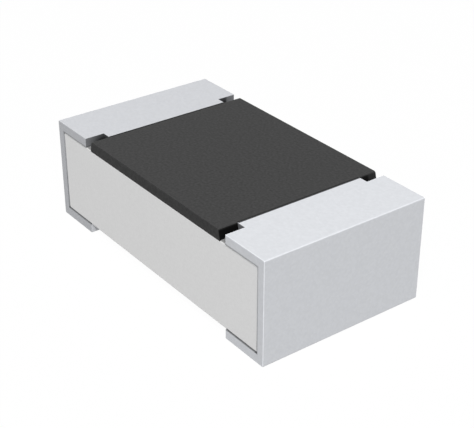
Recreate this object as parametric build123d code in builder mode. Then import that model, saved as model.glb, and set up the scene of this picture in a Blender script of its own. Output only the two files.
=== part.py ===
"""Thick-film chip resistor, size 1608 metric (0603 inch), with wrap-around terminals.

The origin is at the centre of the ceramic block: +X runs along the length, +Y across the width
and +Z up through the black cover. Lengths are in millimetres, angles in degrees.

The chip is a ceramic block that carries thin printed and plated layers. Each layer takes its
shape from the ones below it: it is the outer form that the layer reaches, less what is there
already. The two ends are alike, so every end layer is drawn once, at the +X end.
"""
import os

from build123d import *

# Overall size of the finished chip, over its terminals
chip_length = 1.60
chip_width = 0.857
chip_height = 0.503

# Layers of a terminal, from the ceramic outwards
electrode_thickness = 0.013
end_wall_thickness = 0.020
end_lap_thickness = 0.010
nickel_thickness = 0.010
tin_thickness = 0.013

# Outline of a terminal, over its tin. Its sides stand out past the ceramic's by the side step
terminal_length = 0.254
side_step = 0.003
tab_width = 0.660
notch_depth = 0.036
terminal_end_radius = 0.006
terminal_side_radius = 0.002

# Ceramic block
substrate_end_radius = 0.012
substrate_side_radius = 0.006

# Resistive film between the electrodes, with its laser cut
film_thickness = 0.010
film_width = 0.50
film_overlap = 0.045
tongue_length = 0.125
print_slope_length = 0.015
trim_kerf = 0.024
trim_offset = 0.13
trim_depth = 0.28
trim_run = 0.17

# Glass coat over the film
glass_thickness = 0.009
glass_margin = 0.022

# Black resin cover: the draft is the slope of its two ends from upright
cover_thickness = 0.0465
cover_draft = 13
cover_end_radius = 0.012
cover_side_radius = 0.003

# Sizes that follow from the ones above
plating_thickness = nickel_thickness + tin_thickness
plate_thickness = electrode_thickness + end_lap_thickness + plating_thickness
substrate_end = chip_length / 2 - end_wall_thickness - plating_thickness
substrate_width = chip_width - 2 * side_step
substrate_top = chip_height / 2 - plate_thickness
substrate_bottom = -substrate_top
half_width = chip_width / 2
tin_shoulder = chip_length / 2 - terminal_length
print_shoulder = tin_shoulder + plating_thickness
print_half_width = half_width - plating_thickness
tongue_half_width = tab_width / 2 - plating_thickness
cover_half_length = tin_shoulder - notch_depth
cover_foot = substrate_top - substrate_side_radius
cover_top = substrate_top + cover_thickness
tongue_end = cover_half_length - tongue_length
film_half_length = tongue_end + film_overlap


def block_form(width: float) -> Part:
    """Outer form of the ceramic at this width, with its end edges rounded and its sides sharp."""
    with BuildPart() as form:
        with BuildSketch(Plane.XY.offset(substrate_bottom)):
            Rectangle(2 * substrate_end, width)
        extrude(amount=substrate_top - substrate_bottom)
        fillet(form.edges().filter_by(Axis.Y), substrate_end_radius)
    return form.part


def cover_form(top: float) -> Part:
    """Outer form of the cover carried up to this height, with sloping ends and sharp edges."""
    with BuildPart() as form:
        with BuildSketch(Plane.XZ):
            with Locations((0, cover_foot)):
                Trapezoid(
                    2 * cover_half_length,
                    top - cover_foot,
                    90 - cover_draft,
                    align=(Align.CENTER, Align.MIN),
                )
        extrude(amount=substrate_width / 2, both=True)
    return form.part


def terminal_form(plating: float) -> Part:
    """Outer form of the +X terminal with this much plating over its printed metal.

    It is solid right through: the ceramic and whatever lies below a layer are cut from it.
    """
    end = substrate_end + end_wall_thickness + plating
    shoulder = print_shoulder - plating
    reach = electrode_thickness + end_lap_thickness + plating
    with BuildPart() as form:
        # Block round the end of the chip
        with BuildSketch(Plane.XY.offset(substrate_bottom - reach)):
            with Locations(((shoulder + end) / 2, 0)):
                Rectangle(end - shoulder, 2 * (print_half_width + plating))
        extrude(amount=substrate_top - substrate_bottom + 2 * reach)
        # Tab on the top plate, which runs in under the cover's sloping end
        with BuildSketch(Plane.XY.offset(substrate_top)):
            with Locations(((tongue_end + shoulder) / 2, 0)):
                Rectangle(shoulder - tongue_end, 2 * (tongue_half_width + plating))
        extrude(amount=reach)
    return form.part


def bridge_form(half_length: float, width: float, cover: float) -> Part:
    """Outer form of a print that spans the gap between the two tongues and steps up onto them."""
    low = substrate_top + cover
    high = low + electrode_thickness
    step = tongue_end - cover
    with BuildPart() as form:
        with BuildSketch(Plane.XZ):
            with BuildLine():
                Polyline(
                    (0, substrate_top),
                    (half_length, substrate_top),
                    (half_length, high),
                    (step, high),
                    (step - print_slope_length, low),
                    (0, low),
                )
                mirror(about=Plane.YZ)
            make_face()
        extrude(amount=width / 2, both=True)
    return form.part


# Alumina substrate, with its side faces' edges rounded
with BuildPart() as ceramic_substrate:
    add(block_form(substrate_width))
    substrate_sides = ceramic_substrate.faces().filter_by(Axis.Y)
    fillet(substrate_sides.edges(), substrate_side_radius)
ceramic_substrate.part.label = "ceramic_substrate"

# Rooms that the metal leaves: for the ceramic, right through the chip's width, and for the cover
ceramic_room = block_form(chip_width)
cover_room = cover_form(chip_height)

# Silver electrode printed on the top face: a pad, and a narrower tongue in under the cover
with BuildPart() as top_electrode_right:
    with BuildSketch(Plane.XY.offset(substrate_top)):
        pad_end = substrate_end - substrate_end_radius
        with Locations(((print_shoulder + pad_end) / 2, 0)):
            Rectangle(pad_end - print_shoulder, 2 * print_half_width)
        with Locations(((tongue_end + print_shoulder) / 2, 0)):
            Rectangle(print_shoulder - tongue_end, 2 * tongue_half_width)
    extrude(amount=electrode_thickness)
top_electrode_right.part.label = "top_electrode_right"

# Silver electrode printed on the underside, as a plain pad
with BuildPart() as bottom_electrode_right:
    with BuildSketch(Plane.XY.offset(substrate_bottom - electrode_thickness)):
        with Locations(((print_shoulder + pad_end) / 2, 0)):
            Rectangle(pad_end - print_shoulder, 2 * print_half_width)
    extrude(amount=electrode_thickness)
bottom_electrode_right.part.label = "bottom_electrode_right"

# Outer forms of the end electrode, of the nickel over it and of the tin over both
end_electrode_form = terminal_form(0)
nickel_form = terminal_form(nickel_thickness)

with BuildPart() as tin_form:
    add(terminal_form(plating_thickness))
    end_edges = tin_form.edges().filter_by(Axis.Y).group_by(Axis.X)[-1]
    fillet(end_edges, terminal_end_radius)
    outer_faces = tin_form.faces().filter_by(Axis.Y).group_by(Axis.Y)
    fillet(outer_faces[0].edges() + outer_faces[-1].edges(), terminal_side_radius)

# End electrode, which wraps the end of the ceramic and laps both printed pads
with BuildPart() as end_electrode_right:
    add(end_electrode_form)
    add(ceramic_room, mode=Mode.SUBTRACT)
    add(top_electrode_right.part, mode=Mode.SUBTRACT)
    add(bottom_electrode_right.part, mode=Mode.SUBTRACT)
    add(cover_room, mode=Mode.SUBTRACT)
end_electrode_right.part.label = "end_electrode_right"

# Nickel barrier over all of the printed metal that the cover leaves bare, edges included
with BuildPart() as nickel_barrier_right:
    add(nickel_form)
    add(end_electrode_form, mode=Mode.SUBTRACT)
    add(ceramic_room, mode=Mode.SUBTRACT)
    add(cover_room, mode=Mode.SUBTRACT)
nickel_barrier_right.part.label = "nickel_barrier_right"

# Tin plating, the skin of the terminal, over nickel that it hides on every side
with BuildPart() as tin_plating_right:
    add(tin_form.part)
    add(nickel_form, mode=Mode.SUBTRACT)
    add(ceramic_room, mode=Mode.SUBTRACT)
    add(cover_room, mode=Mode.SUBTRACT)
tin_plating_right.part.label = "tin_plating_right"

# Resistive film, then the glass coat over it, both before the laser cut
film_form = bridge_form(film_half_length, film_width, film_thickness)
glass_form = bridge_form(
    film_half_length + glass_margin,
    film_width + 2 * glass_margin,
    film_thickness + glass_thickness,
)

# Cut that trims the resistance: in from one side of the film, then along it
with BuildPart() as trim_cut:
    cut_start = -film_width / 2 - glass_margin - trim_kerf
    cut_turn = trim_depth - film_width / 2
    with BuildSketch(Plane.XY.offset(substrate_top)):
        with BuildLine():
            Polyline(
                (-trim_offset, cut_start),
                (-trim_offset, cut_turn),
                (-trim_offset + trim_run, cut_turn),
            )
        trace(line_width=trim_kerf)
    extrude(amount=electrode_thickness + film_thickness + glass_thickness)

with BuildPart() as resistive_film:
    add(film_form)
    add(top_electrode_right.part, mode=Mode.SUBTRACT)
    mirror(top_electrode_right.part, about=Plane.YZ, mode=Mode.SUBTRACT)
    add(trim_cut.part, mode=Mode.SUBTRACT)
resistive_film.part.label = "resistive_film"

with BuildPart() as glass_coat:
    add(glass_form)
    add(film_form, mode=Mode.SUBTRACT)
    add(top_electrode_right.part, mode=Mode.SUBTRACT)
    mirror(top_electrode_right.part, about=Plane.YZ, mode=Mode.SUBTRACT)
    add(trim_cut.part, mode=Mode.SUBTRACT)
glass_coat.part.label = "glass_coat"

# Resin cover: its rim is rounded, and it fills the laser cut and the film's steps
with BuildPart() as resin_overcoat:
    add(cover_form(cover_top))
    top_edges = resin_overcoat.edges().group_by(Axis.Z)[-1]
    fillet(top_edges.filter_by(Axis.Y), cover_end_radius)
    cover_sides = resin_overcoat.faces().filter_by(Axis.Y)
    foot_edges = resin_overcoat.edges().group_by(Axis.Z)[0]
    fillet(cover_sides.edges() - foot_edges, cover_side_radius)
    add(ceramic_substrate.part, mode=Mode.SUBTRACT)
    add(top_electrode_right.part, mode=Mode.SUBTRACT)
    mirror(top_electrode_right.part, about=Plane.YZ, mode=Mode.SUBTRACT)
    add(resistive_film.part, mode=Mode.SUBTRACT)
    add(glass_coat.part, mode=Mode.SUBTRACT)
resin_overcoat.part.label = "resin_overcoat"

# Files, one for each piece, with the layers of the -X end mirrored from those of the +X end
os.makedirs("parts", exist_ok=True)

for piece in (ceramic_substrate, resistive_film, glass_coat, resin_overcoat):
    export_step(piece.part, f"parts/{piece.part.label}.step")

for piece in (
    top_electrode_right,
    bottom_electrode_right,
    end_electrode_right,
    nickel_barrier_right,
    tin_plating_right,
):
    export_step(piece.part, f"parts/{piece.part.label}.step")
    with BuildPart() as left_piece:
        mirror(piece.part, about=Plane.YZ)
    left_piece.part.label = piece.part.label.replace("right", "left")
    export_step(left_piece.part, f"parts/{left_piece.part.label}.step")
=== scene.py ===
"""Thick-film chip resistor, size 1608 metric (0603 inch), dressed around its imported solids.

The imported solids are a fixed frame. Every skin that shows, which is the ceramic block, the two
tinned terminals and the black cover, is modelled again here with fine, smooth edges and stands
for its solid. The layers under them stay as they are and get their finishes. Shapes are drawn in
millimetres round the centre of the ceramic block and brought to metres when they are finished.
"""

import logging
import math
from collections.abc import Callable, Iterable, Iterator
from contextlib import contextmanager
from dataclasses import dataclass, replace
from enum import Enum, IntEnum
from functools import reduce

import bpy
from bpy.types import Material, Node, NodeSocket, NodeTree, Object
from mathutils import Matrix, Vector


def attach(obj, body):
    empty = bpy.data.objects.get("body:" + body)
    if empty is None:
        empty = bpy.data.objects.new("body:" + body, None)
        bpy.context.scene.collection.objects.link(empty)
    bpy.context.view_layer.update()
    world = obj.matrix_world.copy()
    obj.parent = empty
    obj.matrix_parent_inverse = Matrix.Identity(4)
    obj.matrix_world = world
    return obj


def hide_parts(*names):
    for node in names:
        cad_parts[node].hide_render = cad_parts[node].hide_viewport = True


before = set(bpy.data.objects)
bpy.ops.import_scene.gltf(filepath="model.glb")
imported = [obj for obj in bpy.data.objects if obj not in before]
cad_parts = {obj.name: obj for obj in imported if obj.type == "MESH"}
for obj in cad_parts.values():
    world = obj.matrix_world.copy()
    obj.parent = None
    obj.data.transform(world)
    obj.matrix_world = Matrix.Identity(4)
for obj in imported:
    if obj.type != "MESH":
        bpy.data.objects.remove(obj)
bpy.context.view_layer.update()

log = logging.getLogger("chip_resistor")

# A millimetre in metres, the part's only body, and white
MM = 0.001
BODY = "root"
WHITE = (1.0, 1.0, 1.0, 1.0)

# Places less than NEAR apart count as one while a shape is drawn, and corners less than WELD
# apart are joined when it is finished, both in millimetres. Faces that turn by less than FLAT
# degrees lie flat beside each other.
NEAR = 2e-5
WELD = 2e-4
FLAT = 1.0

Point = tuple[float, float, float]
EdgeTest = Callable[[Vector, Vector], bool]
FaceTest = Callable[[Vector, Vector], bool]
Inputs = dict[str | int, object]


class End(Enum):
    """The two ends of the chip, as its nodes name them: left is at -X and right at +X."""

    LEFT = "left"
    RIGHT = "right"


class Axis(IntEnum):
    """The chip's directions, by their place in a vector."""

    X = 0
    Y = 1
    Z = 2


class Elements(Enum):
    """What a selection picks on a mesh."""

    EDGES = "EDGE"
    FACES = "FACE"


@dataclass(frozen=True)
class ChipSizes:
    """Sizes in millimetres that more than one piece of the chip needs.

    Attributes:
        length: Length over both terminals.
        width: Width over the terminals.
        height: Height over the terminals' plates.
        side_step: How far the terminals stand out past the ceramic's side faces.
        plate: Metal above and below the ceramic.
        wall: Metal on the end of the ceramic.
        tin: The outermost layer of that metal.
        terminal: Length of a terminal's plates.
        tab_width: Width of the tab that runs in to the cover.
        notch: Gap between a terminal's shoulder and the cover, beside the tab.
        block_radius: Rounding of the ceramic's end edges.
        block_side_radius: Rounding round the ceramic's two side faces.
    """

    length: float = 1.60
    width: float = 0.857
    height: float = 0.503
    side_step: float = 0.003
    plate: float = 0.046
    wall: float = 0.043
    tin: float = 0.013
    terminal: float = 0.254
    tab_width: float = 0.660
    notch: float = 0.036
    block_radius: float = 0.012
    block_side_radius: float = 0.006

    @property
    def block_side(self) -> float:
        """Y of the side face of the ceramic and the cover."""
        return self.width / 2 - self.side_step

    @property
    def block_end(self) -> float:
        """X of the ceramic's end face."""
        return self.length / 2 - self.wall

    @property
    def block_top(self) -> float:
        """Z of the ceramic's top face."""
        return self.height / 2 - self.plate

    @property
    def shoulder(self) -> float:
        """X at which a terminal's plates begin."""
        return self.length / 2 - self.terminal

    @property
    def cover_end(self) -> float:
        """X of the foot of the cover's sloping end."""
        return self.shoulder - self.notch


def deselect_all() -> None:
    """Leaves object mode with nothing selected."""
    if bpy.context.object and bpy.context.object.mode != "OBJECT":
        bpy.ops.object.mode_set(mode="OBJECT")
    bpy.ops.object.select_all(action="DESELECT")


def pick(item: Object) -> None:
    """Makes one object the only selected one, and the active one.

    Args:
        item: The object that the next operators act on.
    """
    deselect_all()
    item.select_set(True)
    bpy.context.view_layer.objects.active = item


def rescale(item: Object, factors: Point) -> None:
    """Scales an object's mesh about the origin, and leaves the object itself unscaled.

    Args:
        item: The object, at the origin.
        factors: Its scale along X, Y and Z.
    """
    pick(item)
    item.scale = factors
    bpy.ops.object.transform_apply(location=False, rotation=False, scale=True)


class Blank:
    """A mesh on the bench, in millimetres, with the tools that shape it."""

    def __init__(self, item: Object) -> None:
        """Takes an object whose mesh is in millimetres."""
        self.item = item

    @classmethod
    def block(cls, name: str, low: Point, high: Point) -> "Blank":
        """Starts a rectangular block.

        Args:
            name: Name of the piece.
            low: Its lowest corner.
            high: Its highest corner.

        Returns:
            The block, ready to be shaped.
        """
        deselect_all()
        middle = [(a + b) / 2 for a, b in zip(low, high)]
        bpy.ops.mesh.primitive_cube_add(size=1, location=middle)
        item = bpy.context.object
        item.name = item.data.name = name
        item.scale = [b - a for a, b in zip(low, high)]
        bpy.ops.object.transform_apply(location=True, rotation=False, scale=True)
        return cls(item)

    @classmethod
    def from_node(cls, node: str) -> "Blank":
        """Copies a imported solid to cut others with.

        Args:
            node: Name of the solid's node.

        Returns:
            The copy, as one closed mesh in millimetres.
        """
        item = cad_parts[node].copy()
        item.data = item.data.copy()
        bpy.context.scene.collection.objects.link(item)
        item.parent = None
        rescale(item, (1 / MM,) * 3)
        blank = cls(item)
        with blank.editing():
            bpy.ops.mesh.remove_doubles(threshold=NEAR)
        blank.merge_flats()
        return blank

    @contextmanager
    def editing(self) -> Iterator[None]:
        """Opens the mesh in edit mode, with all of it selected."""
        pick(self.item)
        bpy.ops.object.mode_set(mode="EDIT")
        bpy.ops.mesh.select_all(action="SELECT")
        yield
        bpy.ops.object.mode_set(mode="OBJECT")

    @contextmanager
    def editing_only(self, kind: Elements, test: EdgeTest | FaceTest) -> Iterator[None]:
        """Opens the mesh in edit mode, with only what passes a test selected.

        Args:
            kind: Whether edges or faces are picked.
            test: Takes an edge's two ends, or a face's centre and normal.
        """
        pick(self.item)
        bpy.ops.object.mode_set(mode="EDIT")
        bpy.ops.mesh.select_mode(type=kind.value)
        bpy.ops.mesh.select_all(action="DESELECT")
        bpy.ops.object.mode_set(mode="OBJECT")
        mesh = self.item.data
        if kind is Elements.EDGES:
            for edge in mesh.edges:
                first, second = (mesh.vertices[i].co for i in edge.vertices)
                edge.select = test(first, second)
        else:
            for face in mesh.polygons:
                face.select = test(face.center, face.normal)
        bpy.ops.object.mode_set(mode="EDIT")
        yield
        bpy.ops.object.mode_set(mode="OBJECT")

    def round_edges(self, test: EdgeTest, radius: float, segments: int = 8) -> None:
        """Rounds the edges whose two ends pass a test.

        Args:
            test: Says whether an edge between two points is rounded.
            radius: Distance from the sharp edge at which the rounding begins.
            segments: Number of flats that make up the rounding.
        """
        with self.editing_only(Elements.EDGES, test):
            bpy.ops.mesh.bevel(
                offset=radius, segments=segments, affect="EDGES", clamp_overlap=False
            )

    def divide(self, point: Point, normal: Point) -> None:
        """Divides the faces along a plane, so that a part of one can be pulled out."""
        with self.editing():
            bpy.ops.mesh.bisect(plane_co=point, plane_no=normal)

    def pull(self, test: FaceTest, shift: Point) -> None:
        """Extrudes the faces whose centre and normal pass a test, by a shift."""
        with self.editing_only(Elements.FACES, test):
            bpy.ops.mesh.extrude_region_move(TRANSFORM_OT_translate={"value": shift})

    def narrow(self, test: FaceTest, factor: float) -> None:
        """Shortens along X the faces whose centre and normal pass a test, about their middle."""
        with self.editing_only(Elements.FACES, test):
            bpy.ops.transform.resize(value=(factor, 1, 1))

    def merge_flats(self) -> None:
        """Joins the faces that lie flat beside each other, so that only real edges are left."""
        with self.editing():
            bpy.ops.mesh.dissolve_limited(angle_limit=math.radians(FLAT))

    def apply_modifier(self, kind: str, **settings: object) -> None:
        """Adds a modifier and applies it.

        Args:
            kind: Blender's name for the modifier's type.
            settings: Values for its properties.
        """
        pick(self.item)
        modifier = self.item.modifiers.new(kind.lower(), kind)
        for name, value in settings.items():
            setattr(modifier, name, value)
        bpy.ops.object.modifier_apply(modifier=modifier.name)

    def cut_with(self, cutters: Iterable["Blank"]) -> None:
        """Cuts away what lies inside each of some other blanks.

        Args:
            cutters: The other blanks, which are used up.
        """
        for cutter in cutters:
            self.apply_modifier(
                "BOOLEAN", operation="DIFFERENCE", solver="EXACT", object=cutter.item
            )
            bpy.data.objects.remove(cutter.item)
        self.merge_flats()

    def mirrored(self, name: str) -> "Blank":
        """Copies the mesh for the other end of the chip.

        Args:
            name: Name of the copy.

        Returns:
            The copy, with its own mesh.
        """
        pick(self.item)
        bpy.ops.object.duplicate()
        twin = bpy.context.object
        twin.name = twin.data.name = name
        rescale(twin, (-1, 1, 1))
        return Blank(twin)

    def finished(self, smooth_below: float = 30.0) -> Object:
        """Brings the mesh to metres, with normals outward and soft shading on its roundings.

        Args:
            smooth_below: Angle in degrees up to which two faces shade as one.

        Returns:
            The finished object, at the origin, unturned and unscaled.
        """
        with self.editing():
            bpy.ops.mesh.remove_doubles(threshold=WELD)
            bpy.ops.mesh.dissolve_degenerate(threshold=WELD)
            bpy.ops.mesh.normals_make_consistent(inside=False)
        bpy.ops.object.shade_smooth_by_angle(angle=math.radians(smooth_below))
        # Weighted normals keep flat faces flat, and do nothing at the chip's size in metres
        self.apply_modifier("WEIGHTED_NORMAL", keep_sharp=True)
        rescale(self.item, (MM,) * 3)
        # Faces with five corners or more are divided here, by the method for even triangles
        self.apply_modifier(
            "TRIANGULATE", min_vertices=5, ngon_method="BEAUTY", keep_custom_normals=True
        )
        return self.item


def lies_at(axis: Axis, *values: float) -> EdgeTest:
    """Returns a test for edges that lie in one of some planes across an axis."""
    return lambda a, b: any(
        abs(a[axis] - value) < NEAR and abs(b[axis] - value) < NEAR for value in values
    )


def runs_across(a: Vector, b: Vector) -> bool:
    """Says whether an edge runs straight across the width of the chip."""
    return abs(a.x - b.x) + abs(a.z - b.z) < NEAR


@dataclass
class CeramicBlock:
    """The alumina block that carries every layer."""

    sizes: ChipSizes

    def _end_rounded(self, name: str, side: float) -> Blank:
        """Draws the block at any width, with its end edges rounded.

        Args:
            name: Name of the piece.
            side: Y of its side face.

        Returns:
            The block, with its side faces' rims sharp.
        """
        end, top = self.sizes.block_end, self.sizes.block_top
        blank = Blank.block(name, (-end, -side, -top), (end, side, top))
        blank.round_edges(runs_across, self.sizes.block_radius)
        return blank

    def shape(self) -> Blank:
        """Draws the block with its end edges and the rims of its side faces rounded.

        Returns:
            The block, in millimetres.
        """
        side = self.sizes.block_side
        blank = self._end_rounded("ceramic_block", side)
        for face_y in (-side, side):
            blank.round_edges(lies_at(Axis.Y, face_y), self.sizes.block_side_radius)
        return blank

    def cutter(self) -> Blank:
        """Returns the room that the block takes out of the metal, wider than the chip."""
        return self._end_rounded("block_room", self.sizes.width)

    def build(self) -> Object:
        """Finishes the block.

        Returns:
            The piece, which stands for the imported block.
        """
        piece = self.shape().finished()
        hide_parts("ceramic_substrate")
        return piece


@dataclass
class BlackCover:
    """The resin cover, with sloping ends and upright sides.

    Attributes:
        sizes: Sizes shared with the other pieces.
        thickness: Height of its top above the ceramic.
        draft: Slope of its ends from upright, in degrees.
        end_radius: Rounding between its top and its ends.
        side_radius: Rounding round its side faces, corners included.
    """

    sizes: ChipSizes
    thickness: float = 0.0465
    draft: float = 13.0
    end_radius: float = 0.012
    side_radius: float = 0.003

    @property
    def top(self) -> float:
        """Z of the cover's flat top."""
        return self.sizes.block_top + self.thickness

    @property
    def foot(self) -> float:
        """Z of its foot, where the rounding of the ceramic's rim begins."""
        return self.sizes.block_top - self.sizes.block_side_radius

    def end_at(self, height: float) -> float:
        """Returns the X of its sloping end at a height."""
        return self.sizes.cover_end - (height - self.foot) * math.tan(math.radians(self.draft))

    def sloped_block(self, name: str, top: float) -> Blank:
        """Draws a block with the cover's sloping ends.

        Args:
            name: Name of the piece.
            top: Z up to which it is carried.

        Returns:
            The block, with sharp edges.
        """
        end, side = self.sizes.cover_end, self.sizes.block_side
        blank = Blank.block(name, (-end, -side, self.foot), (end, side, top))
        blank.narrow(lambda centre, normal: normal.z > 1 - NEAR, self.end_at(top) / end)
        return blank

    def build(self, block: CeramicBlock) -> Object:
        """Finishes the cover, hollowed where the layers under it lie.

        Args:
            block: The ceramic that the cover sits on.

        Returns:
            The piece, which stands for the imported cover.
        """
        blank = self.sloped_block("black_cover", self.top)
        # The skin turns by less than a right angle here, so its rounding begins nearer the edge
        half_turn = math.radians(90 - self.draft) / 2
        blank.round_edges(
            lambda a, b: lies_at(Axis.Z, self.top)(a, b) and runs_across(a, b),
            self.end_radius * math.tan(half_turn),
        )
        for face_y in (-self.sizes.block_side, self.sizes.block_side):
            blank.round_edges(
                lambda a, b: lies_at(Axis.Y, face_y)(a, b) and max(a.z, b.z) > self.foot + NEAR,
                self.side_radius,
            )
        under = ("top_electrode_left", "top_electrode_right", "resistive_film", "glass_coat")
        blank.cut_with([block.shape(), *(Blank.from_node(node) for node in under)])
        piece = blank.finished()
        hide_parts("resin_overcoat")
        return piece


@dataclass
class Terminals:
    """The tin skins of the two wrap-around terminals.

    Attributes:
        sizes: Sizes shared with the other pieces.
        end_radius: Rounding of the two long edges at the chip's end.
        side_radius: Rounding of the terminal's other edges.
        seam_radius: Rounding of its edge along the ceramic, on the side faces.
        tab_radius: Rounding of the tab's edge against the cover.
        side_segments: Number of flats in the roundings of the sides and the tab.
        seam_segments: Number of flats in the rounding along the ceramic.
    """

    sizes: ChipSizes
    end_radius: float = 0.006
    side_radius: float = 0.003
    seam_radius: float = 0.0015
    tab_radius: float = 0.012
    side_segments: int = 5
    seam_segments: int = 4

    def outer_form(self, name: str, inset: float) -> Blank:
        """Draws the +X terminal as a solid: a block, with a tab on its top plate.

        The tab is drawn twice as long as the notch, on into the room of the cover, which is cut
        from it later.

        Args:
            name: Name of the piece.
            inset: How far the form lies inside the tin's surface.

        Returns:
            The form with sharp edges.
        """
        sizes = self.sizes
        end = sizes.length / 2 - inset
        shoulder = sizes.shoulder + inset
        half_width = sizes.width / 2 - inset
        half_height = sizes.height / 2 - inset
        half_tab = sizes.tab_width / 2 - inset
        tab_reach = 2 * sizes.notch + inset
        blank = Blank.block(
            name, (shoulder, -half_width, -half_height), (end, half_width, half_height)
        )
        blank.divide((0, 0, sizes.block_top), (0, 0, 1))
        blank.divide((0, -half_tab, 0), (0, 1, 0))
        blank.divide((0, half_tab, 0), (0, 1, 0))
        blank.pull(
            lambda centre, normal: normal.x < NEAR - 1
            and centre.z > sizes.block_top
            and abs(centre.y) < half_tab,
            (-tab_reach, 0, 0),
        )
        blank.merge_flats()
        return blank

    def shape(self, name: str, block: CeramicBlock, cover: BlackCover) -> Blank:
        """Draws the +X skin, less the pieces and layers that it lies against.

        Args:
            name: Name of the piece.
            block: The ceramic that the terminal wraps.
            cover: The cover that the tab runs up against.

        Returns:
            The skin with its edges rounded, in millimetres.
        """
        sizes = self.sizes
        end, half_width, half_height = sizes.length / 2, sizes.width / 2, sizes.height / 2
        tab_end = cover.end_at(half_height)
        on_side = lies_at(Axis.Y, -half_width, half_width)
        on_plate = lies_at(Axis.Z, -half_height, half_height)

        def on_rim(a: Vector, b: Vector) -> bool:
            """Says whether an edge borders a side face, or a plate or the tab by the cover."""
            return on_side(a, b) or on_plate(a, b) and max(a.x, b.x) < sizes.shoulder + NEAR

        def on_seam(a: Vector, b: Vector) -> bool:
            """Says whether an edge runs along the ceramic, in one of the side faces."""
            return (
                on_side(a, b)
                and max(a.x, b.x) < sizes.block_end + NEAR
                and max(abs(a.z), abs(b.z)) < sizes.block_top + NEAR
                and min(a.x, b.x) > sizes.shoulder + self.side_radius / 2
            )

        blank = self.outer_form(name, 0)
        blank.round_edges(
            lambda a, b: lies_at(Axis.X, end)(a, b) and runs_across(a, b), self.end_radius
        )
        blank.round_edges(on_rim, self.side_radius, self.side_segments)
        nickel_room = self.outer_form("nickel_room", sizes.tin)
        cover_room = cover.sloped_block("cover_room", sizes.height)
        blank.cut_with([nickel_room, block.cutter(), cover_room])
        blank.round_edges(
            lambda a, b: lies_at(Axis.Z, half_height)(a, b) and lies_at(Axis.X, tab_end)(a, b),
            self.tab_radius,
            self.side_segments,
        )
        blank.round_edges(on_seam, self.seam_radius, self.seam_segments)
        return blank

    def build(self, block: CeramicBlock, cover: BlackCover) -> dict[End, Object]:
        """Finishes both skins.

        Args:
            block: The ceramic that the terminals wrap.
            cover: The cover that their tabs run up against.

        Returns:
            The two pieces, by the end that each is at.
        """
        right = self.shape("terminal_right", block, cover)
        left = right.mirrored("terminal_left")
        pieces = {End.RIGHT: right.finished(), End.LEFT: left.finished()}
        for end, piece in pieces.items():
            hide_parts(f"tin_plating_{end.value}")
        return pieces


class NodeSheet:
    """A node tree that is being filled, with short ways to add and join nodes."""

    def __init__(self, tree: NodeTree) -> None:
        """Takes an empty node tree."""
        self.tree = tree

    def plug(self, node: Node, inputs: Inputs) -> None:
        """Sets inputs of a node, or links them.

        Args:
            node: The node.
            inputs: Values, or outputs of other nodes, for its sockets, by name or number.
        """
        for socket, value in inputs.items():
            if isinstance(value, NodeSocket):
                self.tree.links.new(value, node.inputs[socket])
            else:
                node.inputs[socket].default_value = value

    def add(self, kind: str, inputs: Inputs | None = None, **settings: object) -> Node:
        """Adds a node.

        Args:
            kind: Blender's name for the node type, without "ShaderNode".
            inputs: Values, or outputs of other nodes, for its sockets, by name or number.
            settings: Values for the node's own properties.

        Returns:
            The new node.
        """
        node = self.tree.nodes.new(f"ShaderNode{kind}")
        for name, value in settings.items():
            setattr(node, name, value)
        self.plug(node, inputs or {})
        return node

    def math(self, operation: str, *values: object) -> NodeSocket:
        """Adds a Math node and returns its result."""
        node = self.add("Math", dict(enumerate(values)), operation=operation)
        return node.outputs[0]

    def rise(self, value: object, start: object, stop: object) -> NodeSocket:
        """Returns 0 where a value is at its start, 1 at its stop, and a soft step between."""
        ends = {"Value": value, "From Min": start, "From Max": stop}
        return self.add("MapRange", ends, interpolation_type="SMOOTHSTEP").outputs[0]

    def between(
        self, low: object, high: object, value: object, start: object = 0.0, stop: object = 1.0
    ) -> NodeSocket:
        """Returns low where a value is at its start, high at its stop, and a share between."""
        ends = {"From Min": start, "From Max": stop, "To Min": low, "To Max": high}
        return self.add("MapRange", {"Value": value, **ends}).outputs[0]

    def product(self, *values: object) -> NodeSocket:
        """Returns all the values multiplied together."""
        return reduce(lambda first, second: self.math("MULTIPLY", first, second), values)

    def mix(self, share: object, first: Node, second: Node) -> Node:
        """Mixes two shaders, with a share from 0 to 1 of the second."""
        return self.add("MixShader", {0: share, 1: first.outputs[0], 2: second.outputs[0]})


def new_material(name: str) -> tuple[Material, NodeSheet]:
    """Starts a node material.

    Args:
        name: Name of the material.

    Returns:
        The material and the sheet of its tree, which is empty.
    """
    material = bpy.data.materials.new(name)
    material.use_nodes = True
    material.node_tree.nodes.clear()
    return material, NodeSheet(material.node_tree)


def new_group(
    name: str, inputs: dict[str, float | Point], outputs: Iterable[str]
) -> tuple[NodeSheet, dict[str, NodeSocket], Node]:
    """Starts a shared shader node group.

    Args:
        name: Name of the group.
        inputs: First value of each input, by name. The place on the piece, Vector, is added.
        outputs: Name of each output. All are plain numbers.

    Returns:
        The sheet of its tree, what its inputs give, by name, and its output node.
    """
    tree = bpy.data.node_groups.new(name, "ShaderNodeTree")
    tree.interface.new_socket("Vector", in_out="INPUT", socket_type="NodeSocketVector")
    for label, value in inputs.items():
        kind = "NodeSocketVector" if isinstance(value, tuple) else "NodeSocketFloat"
        socket = tree.interface.new_socket(label, in_out="INPUT", socket_type=kind)
        socket.default_value = value
    for label in outputs:
        tree.interface.new_socket(label, in_out="OUTPUT", socket_type="NodeSocketFloat")
    given = dict(tree.nodes.new("NodeGroupInput").outputs.items())
    return NodeSheet(tree), given, tree.nodes.new("NodeGroupOutput")


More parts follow.
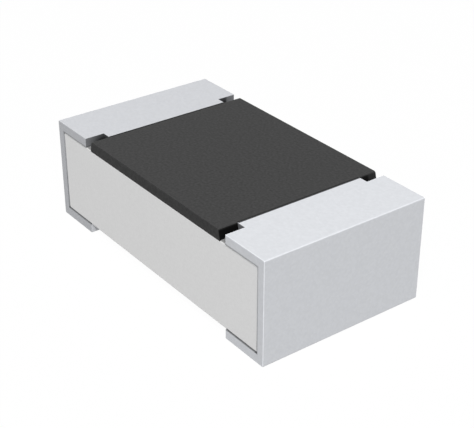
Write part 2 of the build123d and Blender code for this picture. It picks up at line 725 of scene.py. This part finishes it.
class SharedEffects:
    """Node groups that several finishes use, each built once."""

    def __init__(self, sizes: ChipSizes, cover: BlackCover) -> None:
        """Builds every group, with the chip's own sizes as its sockets' first values.

        Args:
            sizes: Sizes of the chip.
            cover: The cover that the notches run up against.
        """
        self.sizes, self.cover = sizes, cover
        self.grain = self._grain_group()
        self.crystals = self._crystal_group()
        self.skin = self._skin_group()
        self.seam = self._seam_group()
        self.notch = self._notch_group()

    @staticmethod
    def _grain_group() -> NodeTree:
        """Builds fine grain with broad, faint clouds, as fired or printed surfaces have.

        Returns:
            The group's tree.
        """
        sheet, given, result = new_group(
            "fired_grain",
            {
                "Grain Scale": 1e5,
                "Grain Contrast": 0.02,
                "Cloud Scale": 4e3,
                "Cloud Contrast": 0.01,
            },
            ("Tone", "Height"),
        )
        heights, shares = [], []
        for part in ("Grain", "Cloud"):
            field = {"Vector": given["Vector"], "Scale": given[f"{part} Scale"]}
            height = sheet.add("TexNoise", field).outputs[0]
            centred = sheet.math("SUBTRACT", height, 0.5)
            heights.append(height)
            shares.append(sheet.math("MULTIPLY", centred, given[f"{part} Contrast"]))
        tone = sheet.math("ADD", sheet.math("ADD", *shares), 1.0)
        sheet.plug(result, {"Tone": tone, "Height": heights[0]})
        return sheet.tree

    @staticmethod
    def _crystal_group() -> NodeTree:
        """Builds the small, closely packed crystals of a plated metal.

        Returns:
            The group's tree.
        """
        sheet, given, result = new_group(
            "plated_crystals",
            {"Scale": 8e4, "Contrast": 0.03, "Roughness": 0.4, "Roughness Spread": 0.1},
            ("Tone", "Roughness", "Height"),
        )
        field = {"Vector": given["Vector"], "Scale": given["Scale"]}
        cells = sheet.add("TexVoronoi", field, feature="SMOOTH_F1")
        shade = sheet.add("SeparateColor", {"Color": cells.outputs["Color"]})
        red, green = (
            sheet.math("SUBTRACT", shade.outputs[channel], 0.5) for channel in ("Red", "Green")
        )
        tone = sheet.math("MULTIPLY_ADD", red, given["Contrast"], 1.0)
        rough = sheet.math("MULTIPLY_ADD", green, given["Roughness Spread"], given["Roughness"])
        sheet.plug(
            result, {"Tone": tone, "Roughness": rough, "Height": cells.outputs["Distance"]}
        )
        return sheet.tree

    def _skin_group(self) -> NodeTree:
        """Builds masks of the rims, upright corners and side faces of the chip's outer box, for
        painted highlights and painted shade.

        Returns:
            The group's tree.
        """
        sizes = self.sizes
        sheet, given, result = new_group(
            "outer_skin",
            {
                "Half Length": sizes.length / 2 * MM,
                "Half Width": sizes.width / 2 * MM,
                "Half Height": sizes.height / 2 * MM,
                "Reach": 0.005 * MM,
                "Corner Reach": 0.003 * MM,
            },
            ("Rim", "Corner", "Side"),
        )
        place = sheet.add("SeparateXYZ", {"Vector": given["Vector"]})
        inside = []
        for axis, half in (("X", "Half Length"), ("Y", "Half Width"), ("Z", "Half Height")):
            out = sheet.math("ABSOLUTE", place.outputs[axis])
            inside.append(sheet.math("SUBTRACT", given[half], out))
        at_end, at_side, at_top = (sheet.rise(depth, given["Reach"], 0.0) for depth in inside)
        rim = sheet.product(at_top, sheet.math("MAXIMUM", at_end, at_side))
        corner = sheet.product(
            *(sheet.rise(depth, given["Corner Reach"], 0.0) for depth in inside[:2])
        )
        sheet.plug(result, {"Rim": rim, "Corner": corner, "Side": at_side})
        return sheet.tree

    def _seam_group(self) -> NodeTree:
        """Builds the painted shade along the line where metal meets ceramic, fainter the higher it
        lies.

        Returns:
            The group's tree.
        """
        sizes = self.sizes
        sheet, given, result = new_group(
            "seam_shade",
            {
                "Half Length": sizes.block_end * MM,
                "Half Height": sizes.block_top * MM,
                "Metal Start": sizes.shoulder * MM,
                "Half Line": 0.007 * MM,
                "Offset": (0.002 * MM, 0.0, 0.0025 * MM),
                "Top Share": 0.36,
                "Low Share": 0.62,
            },
            ("Mask",),
        )
        moved = sheet.add(
            "VectorMath", {0: given["Vector"], 1: given["Offset"]}, operation="SUBTRACT"
        )
        place = sheet.add("SeparateXYZ", {"Vector": moved.outputs["Vector"]})
        along = sheet.math("ABSOLUTE", place.outputs["X"])
        upward = sheet.math("ABSOLUTE", place.outputs["Z"])
        past_end = sheet.math("SUBTRACT", along, given["Half Length"])
        past_top = sheet.math("SUBTRACT", upward, given["Half Height"])
        off_line = sheet.math("ABSOLUTE", sheet.math("MAXIMUM", past_end, past_top))
        line_top = sheet.math("SUBTRACT", given["Half Line"], given["Half Height"])
        height = place.outputs["Z"]
        share = sheet.between(
            given["Top Share"], given["Low Share"], height, given["Half Height"], line_top
        )
        mask = sheet.product(
            sheet.rise(off_line, given["Half Line"], 0.0),
            sheet.between(share, 1.0, sheet.math("LESS_THAN", height, line_top)),
            sheet.math("GREATER_THAN", along, given["Metal Start"]),
        )
        sheet.plug(result, {"Mask": mask})
        return sheet.tree

    def _notch_group(self) -> NodeTree:
        """Builds the painted shade of the notches beside the tabs, and of the line across each
        tab.

        A notch is least dark at its open side, by a share of its own on each side of the chip.
        From there the dark grows inwards: as far as the tab on the -Y side, and from Back Start
        to Back Full on the +Y side. The line lies between tab and cover. Notch Rim and Rim say
        how far each reaches onto the cover, Lip how wide their soft edges are, and Sill where
        the dark ends below a notch's floor.

        Returns:
            The group's tree.
        """
        sizes, cover = self.sizes, self.cover
        sheet, given, result = new_group(
            "notch_shade",
            {
                "Cover End": cover.end_at(0.0) * MM,
                "Cover Slope": math.tan(math.radians(cover.draft)),
                "Rim": 0.0095 * MM,
                "Notch Rim": 0.006 * MM,
                "Shoulder": (sizes.shoulder + 0.001) * MM,
                "Half Tab": sizes.tab_width / 2 * MM,
                "Half Width": sizes.width / 2 * MM,
                "Back Start": 0.388 * MM,
                "Back Full": 0.372 * MM,
                "Top": sizes.height / 2 * MM,
                "Lip": 0.003 * MM,
                "Floor": sizes.block_top * MM,
                "Sill": (sizes.block_top - 0.0045) * MM,
                "Front Share": 0.8,
                "Back Share": 0.8,
                "Upper Weight": 0.7,
                "Lower Weight": 1.4,
                "Line Width": 0.010 * MM,
            },
            ("Notch", "Line"),
        )
        place = sheet.add("SeparateXYZ", {"Vector": given["Vector"]})
        along = sheet.math("ABSOLUTE", place.outputs["X"])
        across = sheet.math("ABSOLUTE", place.outputs["Y"])
        upward = place.outputs["Z"]
        half_tab, top, lip = given["Half Tab"], given["Top"], given["Lip"]
        sloped = sheet.math("MULTIPLY_ADD", upward, given["Cover Slope"], along)
        past_cover = sheet.math("SUBTRACT", sloped, given["Cover End"])
        beside_tab = sheet.rise(across, sheet.math("SUBTRACT", half_tab, lip), half_tab)
        at_back = sheet.math("GREATER_THAN", place.outputs["Y"], 0.0)
        from_side = sheet.rise(
            across,
            sheet.between(given["Half Width"], given["Back Start"], at_back),
            sheet.between(half_tab, given["Back Full"], at_back),
        )
        depth = sheet.rise(upward, top, given["Floor"])
        weight = sheet.between(given["Upper Weight"], given["Lower Weight"], depth)
        open_share = sheet.between(given["Front Share"], given["Back Share"], at_back)
        notch = sheet.product(
            sheet.rise(past_cover, sheet.math("MULTIPLY", given["Notch Rim"], -1.0), 0.0),
            beside_tab,
            sheet.between(open_share, 1.0, sheet.math("MULTIPLY", from_side, weight)),
            sheet.math("LESS_THAN", along, given["Shoulder"]),
            sheet.rise(upward, top, sheet.math("SUBTRACT", top, lip)),
            sheet.rise(upward, given["Sill"], given["Floor"]),
        )
        line_end = given["Line Width"]
        line = sheet.product(
            sheet.rise(past_cover, sheet.math("MULTIPLY", given["Rim"], -1.0), 0.0),
            sheet.math("SUBTRACT", 1.0, beside_tab),
            sheet.rise(past_cover, line_end, sheet.math("SUBTRACT", line_end, lip)),
            sheet.math("GREATER_THAN", upward, given["Floor"]),
        )
        sheet.plug(result, {"Notch": notch, "Line": line})
        return sheet.tree


@dataclass(frozen=True)
class Finish:
    """A fired, printed or moulded surface with fine grain, painted shade and painted highlights.

    Attributes:
        name: Name of the material.
        colour: Its colour, linear.
        roughness: Its roughness.
        metallic: How much it reflects as metal does.
        grain: Size of its grain, in millimetres.
        grain_contrast: How much the grain changes the colour.
        grain_depth: Height of the grain, in millimetres.
        cloud: Size of its broad, faint patches, in millimetres.
        cloud_contrast: How much those change the colour.
        specular: Strength of its mirror reflection, where 0.5 is a common plastic.
        seam_shade: How much painted shade darkens it along the joints of metal and ceramic.
        notch_shade: How much painted shade darkens it in the notches beside the tabs.
        open_shares: Shares of that at the open side of a notch, for the -Y and the +Y side.
        line_shade: How much painted shade darkens it along the line between tab and cover.
        line_width: Width of that line on the tab, in millimetres.
        side_shade: How much painted shade darkens it on the chip's side faces.
        rim_highlight: How much a painted highlight brightens it along the chip's upper and lower
            rims.
        corner_highlight: How much a painted highlight brightens it along its upright corners.
    """

    name: str
    colour: Point
    roughness: float
    metallic: float = 0.0
    grain: float = 0.010
    grain_contrast: float = 0.06
    grain_depth: float = 0.0004
    cloud: float = 0.25
    cloud_contrast: float = 0.02
    specular: float = 0.5
    seam_shade: float = 0.0
    notch_shade: float = 0.0
    open_shares: tuple[float, float] = (0.8, 0.8)
    line_shade: float = 0.0
    line_width: float = 0.010
    side_shade: float = 0.0
    rim_highlight: float = 0.0
    corner_highlight: float = 0.0

    def material(self, effects: SharedEffects) -> Material:
        """Builds the material from nodes.

        Args:
            effects: The shared node groups.

        Returns:
            The material.
        """
        material, sheet = new_material(self.name)
        place = sheet.add("TexCoord").outputs["Object"]
        grain = self._grain(sheet, effects, place)
        tone = self._with_painted_light(sheet, effects, place, grain.outputs["Tone"])
        colour = sheet.add("VectorMath", {"Vector": self.colour, "Scale": tone}, operation="SCALE")
        depth = self.grain_depth * MM
        bump = sheet.add(
            "Bump", {"Strength": 1.0, "Distance": depth, "Height": grain.outputs["Height"]}
        )
        shader = sheet.add(
            "BsdfPrincipled",
            {
                "Base Color": colour.outputs["Vector"],
                "Roughness": self.roughness,
                "Metallic": self.metallic,
                "Specular IOR Level": self.specular,
                "Normal": bump.outputs["Normal"],
            },
        )
        if "Roughness" in grain.outputs:
            sheet.plug(shader, {"Roughness": grain.outputs["Roughness"]})
        sheet.add("OutputMaterial", {"Surface": shader.outputs[0]})
        return material

    def _grain(self, sheet: NodeSheet, effects: SharedEffects, place: NodeSocket) -> Node:
        """Adds the grain, which gives a tone and a height."""
        values = {
            "Vector": place,
            "Grain Scale": 1 / (self.grain * MM),
            "Grain Contrast": self.grain_contrast,
            "Cloud Scale": 1 / (self.cloud * MM),
            "Cloud Contrast": self.cloud_contrast,
        }
        return sheet.add("Group", values, node_tree=effects.grain)

    def _with_painted_light(
        self, sheet: NodeSheet, effects: SharedEffects, place: NodeSocket, tone: NodeSocket
    ) -> NodeSocket:
        """Changes a tone by painted shade at the joints, notches and side faces, and painted
        highlights on the rims and corners.

        Args:
            sheet: The sheet of the material's tree.
            effects: The shared node groups.
            place: The place on the piece.
            tone: The tone of the bare grain.

        Returns:
            The changed tone.
        """
        open_shares = dict(zip(("Front Share", "Back Share"), self.open_shares))
        for group, mask, change, values in (
            # Painted shade at the joints, in the notches, along the tab line and on the side faces
            (effects.seam, "Mask", -self.seam_shade, {}),
            (effects.notch, "Notch", -self.notch_shade, open_shares),
            (effects.notch, "Line", -self.line_shade, {"Line Width": self.line_width * MM}),
            (effects.skin, "Side", -self.side_shade, {}),
            # Painted highlights along the rims and upright corners
            (effects.skin, "Rim", self.rim_highlight, {}),
            (effects.skin, "Corner", self.corner_highlight, {}),
        ):
            if change:
                effect = sheet.add("Group", {"Vector": place, **values}, node_tree=group)
                factor = sheet.math("MULTIPLY_ADD", effect.outputs[mask], change, 1.0)
                tone = sheet.math("MULTIPLY", tone, factor)
        return tone


@dataclass(frozen=True)
class PlatedFinish(Finish):
    """A plated metal, with a tone and a roughness for each of its small crystals.

    Attributes:
        roughness_spread: How much the roughness changes from crystal to crystal.
    """

    roughness_spread: float = 0.12

    def _grain(self, sheet: NodeSheet, effects: SharedEffects, place: NodeSocket) -> Node:
        """Adds the crystals, which give a tone, a roughness and a height."""
        values = {
            "Vector": place,
            "Scale": 1 / (self.grain * MM),
            "Contrast": self.grain_contrast,
            "Roughness": self.roughness,
            "Roughness Spread": self.roughness_spread,
        }
        return sheet.add("Group", values, node_tree=effects.crystals)


# The alumina's seam and notch darkening is painted shade
ALUMINA = Finish(
    "alumina",
    (0.882, 0.882, 0.882),
    0.75,
    grain_contrast=0.10,
    specular=0.3,
    seam_shade=0.88,
    notch_shade=0.9,
)
# The resin's notch and line darkening is painted shade
BLACK_RESIN = Finish(
    "black_resin",
    (0.0488, 0.0488, 0.0488),
    0.65,
    grain=0.012,
    grain_contrast=0.8,
    specular=0.05,
    notch_shade=0.945,
    open_shares=(0.97, 0.55),
    line_shade=0.85,
)
# The tin's seam, notch and line darkening is painted shade, its brighter rims and corners painted
# highlights
TIN = PlatedFinish(
    "matte_tin",
    (0.674, 0.6885, 0.7175),
    0.5,
    metallic=0.2,
    grain=0.011,
    grain_contrast=0.06,
    specular=0.1,
    seam_shade=1.0,
    notch_shade=0.72,
    line_shade=0.95,
    line_width=0.009,
    rim_highlight=0.13,
    corner_highlight=0.5,
)
# The left terminal's tin: the right one's, darker, as painted shade
SHADED_TIN = replace(
    TIN,
    name="shaded_tin",
    colour=(0.597, 0.608, 0.635),
    seam_shade=0.88,
    notch_shade=0.94,
    open_shares=(0.66, 0.72),
    line_width=0.0032,
    side_shade=0.14,
)
NICKEL = PlatedFinish("nickel", (0.62, 0.58, 0.52), 0.38, metallic=1.0, grain=0.008)
END_METAL = PlatedFinish("end_metal", (0.45, 0.43, 0.40), 0.6, metallic=1.0, grain=0.014)
SILVER_PRINT = PlatedFinish("silver_print", (0.74, 0.72, 0.68), 0.55, metallic=1.0, grain=0.018)
RESISTIVE_FILM = Finish("resistive_film", (0.020, 0.021, 0.024), 0.45, grain=0.016)
GLASS_COAT = Finish("glass_coat", (0.20, 0.34, 0.26), 0.15, grain=0.020, grain_depth=0.0002)

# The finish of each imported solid, by its node's name, or by its layer's where both ends match
NODE_FINISHES: dict[str, Finish] = {
    "resistive_film": RESISTIVE_FILM,
    "glass_coat": GLASS_COAT,
    "top_electrode": SILVER_PRINT,
    "bottom_electrode": SILVER_PRINT,
    "end_electrode": END_METAL,
    "nickel_barrier": NICKEL,
    "ceramic_substrate": ALUMINA,
    "resin_overcoat": BLACK_RESIN,
    "tin_plating_right": TIN,
    "tin_plating_left": SHADED_TIN,
}


class Dressing:
    """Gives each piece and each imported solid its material, built once for each finish."""

    def __init__(self, sizes: ChipSizes, cover: BlackCover) -> None:
        """Builds the shared effects for a chip of these sizes, with this cover."""
        self.effects = SharedEffects(sizes, cover)
        self.made: dict[str, Material] = {}

    def apply(self, item: Object, finish: Finish) -> None:
        """Puts a finish on every face of an object.

        Args:
            item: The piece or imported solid.
            finish: The finish it gets.
        """
        if finish.name not in self.made:
            self.made[finish.name] = finish.material(self.effects)
        if not item.material_slots:
            item.data.materials.append(None)
        for slot in item.material_slots:
            slot.material = self.made[finish.name]

    def dress_layers(self) -> None:
        """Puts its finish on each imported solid, also on those that a piece stands for."""
        for name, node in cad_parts.items():
            layer = name.removesuffix("_left").removesuffix("_right")
            finish = NODE_FINISHES.get(name) or NODE_FINISHES[layer]
            self.apply(node, finish)
            log.info("%s: %s", name, finish.name)


@dataclass(frozen=True)
class SoftLamp:
    """A round, soft lamp that looks at the middle of the chip.

    Attributes:
        name: Name of the lamp.
        azimuth: Its turn from straight in front, towards +X, in degrees.
        elevation: Its height above the horizon, in degrees.
        strength: Brightness that it alone gives a white face turned to it.
        distance: Its distance from the chip, in millimetres.
        size: Diameter of its disk, in millimetres.
    """

    name: str
    azimuth: float
    elevation: float
    strength: float
    distance: float = 40.0
    size: float = 18.0

    def hang(self) -> None:
        """Puts the lamp in the scene."""
        turn, rise = math.radians(self.azimuth), math.radians(self.elevation)
        level = math.cos(rise)
        away = Vector((level * math.sin(turn), -level * math.cos(turn), math.sin(rise)))
        data = bpy.data.lights.new(self.name, "AREA")
        data.shape = "DISK"
        data.size = self.size * MM
        # A disk of this power gives the chip an irradiance of pi times its strength
        data.energy = self.strength * math.pi**2 * (self.distance * MM) ** 2
        lamp = bpy.data.objects.new(self.name, data)
        lamp.location = away * self.distance * MM
        lamp.rotation_mode = "QUATERNION"
        lamp.rotation_quaternion = away.to_track_quat("Z", "Y")
        bpy.context.scene.collection.objects.link(lamp)


LAMPS = (
    SoftLamp("key_lamp", azimuth=51.6, elevation=52.8, strength=1.16),
    SoftLamp("back_lamp", azimuth=187.0, elevation=2.0, strength=0.36, size=8.0),
    SoftLamp("left_lamp", azimuth=263.0, elevation=2.0, strength=0.36, size=8.0),
)


@dataclass
class Studio:
    """A pale floor, a plain white surround, soft lamps and the camera.

    Attributes:
        sizes: Sizes of the chip that stands in it, in millimetres.
        floor_size: Side of the floor, in millimetres.
        floor_drop: Depth of the floor below the chip's middle, over half the chip's height.
        floor_colour: Colour of the share of the floor that takes the chip's shadow.
        floor_shadow: How large that share of the floor's look is.
        floor_light: Strength of the light that the floor throws back at the chip.
        surround: Strength of the light from all round.
        lamps: The lamp above the camera, and two low ones that face the sides turned away.
        camera_place: Place of the camera, in millimetres.
        camera_turn: Its turn about X, Y and Z, in degrees.
        camera_range: Nearest and farthest that it sees, in millimetres.
        sensor: Width of its sensor, in millimetres.
        lens: Its focal length, in millimetres.
    """

    sizes: ChipSizes
    floor_size: float = 120.0
    floor_drop: float = 1.002
    floor_colour: float = 0.85
    floor_shadow: float = 0.03
    floor_light: float = 0.37
    surround: float = 0.18
    lamps: tuple[SoftLamp, ...] = LAMPS
    camera_place: Point = (3.7802, -2.7863, 2.5986)
    camera_turn: Point = (60.6179, -0.0588, 53.2574)
    camera_range: tuple[float, float] = (0.1, 1000.0)
    sensor: float = 36.0
    lens: float = 88.75

    @staticmethod
    def _seen_directly(sheet: NodeSheet) -> NodeSocket:
        """Tells what the camera sees, also in metal and through glass, from what lights it.

        Args:
            sheet: The sheet of the material's or world's tree.

        Returns:
            A value of 1 for what is seen, and else 0.
        """
        path = sheet.add("LightPath")
        mirrored = sheet.math(
            "MAXIMUM", path.outputs["Is Glossy Ray"], path.outputs["Is Transmission Ray"]
        )
        return sheet.math("MAXIMUM", path.outputs["Is Camera Ray"], mirrored)

    def build_surround(self) -> None:
        """Sets the world: plain white to look at, and a soft light from all round."""
        world = bpy.data.worlds.new("surround")
        bpy.context.scene.world = world
        world.use_nodes = True
        world.node_tree.nodes.clear()
        sheet = NodeSheet(world.node_tree)
        light = sheet.add("Background", {"Color": WHITE, "Strength": self.surround})
        white = sheet.add("Background", {"Color": WHITE, "Strength": 1.0})
        both = sheet.mix(self._seen_directly(sheet), light, white)
        sheet.add("OutputWorld", {"Surface": both.outputs[0]})

    def build_floor(self) -> None:
        """Lays the floor under the chip. From below it is clear, so that the underside shows."""
        deselect_all()
        below = self.sizes.height / 2 * self.floor_drop
        bpy.ops.mesh.primitive_plane_add(size=self.floor_size * MM, location=(0, 0, -below * MM))
        floor = bpy.context.object
        floor.name = "floor"
        material, sheet = new_material("pale_floor")
        lit = sheet.add("BsdfDiffuse", {"Color": (self.floor_colour,) * 3 + (1,)})
        white = sheet.add("Emission", {"Color": WHITE, "Strength": 1.0})
        glow = sheet.add("Emission", {"Color": WHITE, "Strength": self.floor_light})
        look = sheet.mix(self.floor_shadow, white, lit)
        top = sheet.mix(self._seen_directly(sheet), glow, look)
        clear = sheet.add("BsdfTransparent")
        side = sheet.add("NewGeometry")
        both = sheet.mix(side.outputs["Backfacing"], top, clear)
        sheet.add("OutputMaterial", {"Surface": both.outputs[0]})
        floor.data.materials.append(material)

    def build_camera(self) -> None:
        """Puts the camera where the photograph was taken from."""
        data = bpy.data.cameras.new("camera")
        data.sensor_width = self.sensor
        data.lens = self.lens
        data.clip_start, data.clip_end = (value * MM for value in self.camera_range)
        camera = bpy.data.objects.new("camera", data)
        camera.location = [value * MM for value in self.camera_place]
        camera.rotation_euler = [math.radians(value) for value in self.camera_turn]
        bpy.context.scene.collection.objects.link(camera)
        bpy.context.scene.camera = camera

    def build(self) -> None:
        """Builds everything round the chip."""
        self.build_surround()
        self.build_floor()
        for lamp in self.lamps:
            lamp.hang()
        self.build_camera()
        bpy.context.scene.view_settings.view_transform = "Standard"


def main() -> None:
    """Builds the chip and its studio, and reports each piece."""
    logging.basicConfig(level=logging.INFO, format="%(message)s")
    sizes = ChipSizes()
    block, cover = CeramicBlock(sizes), BlackCover(sizes)
    dressing = Dressing(sizes, cover)
    dressing.dress_layers()
    skins = Terminals(sizes).build(block, cover)
    pieces = {
        block.build(): ALUMINA,
        cover.build(block): BLACK_RESIN,
        skins[End.RIGHT]: TIN,
        skins[End.LEFT]: SHADED_TIN,
    }
    for piece, finish in pieces.items():
        dressing.apply(piece, finish)
        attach(piece, BODY)
        log.info("%s: %d faces, %s", piece.name, len(piece.data.polygons), finish.name)
    Studio(sizes).build()


if __name__ == "__main__":
    main()
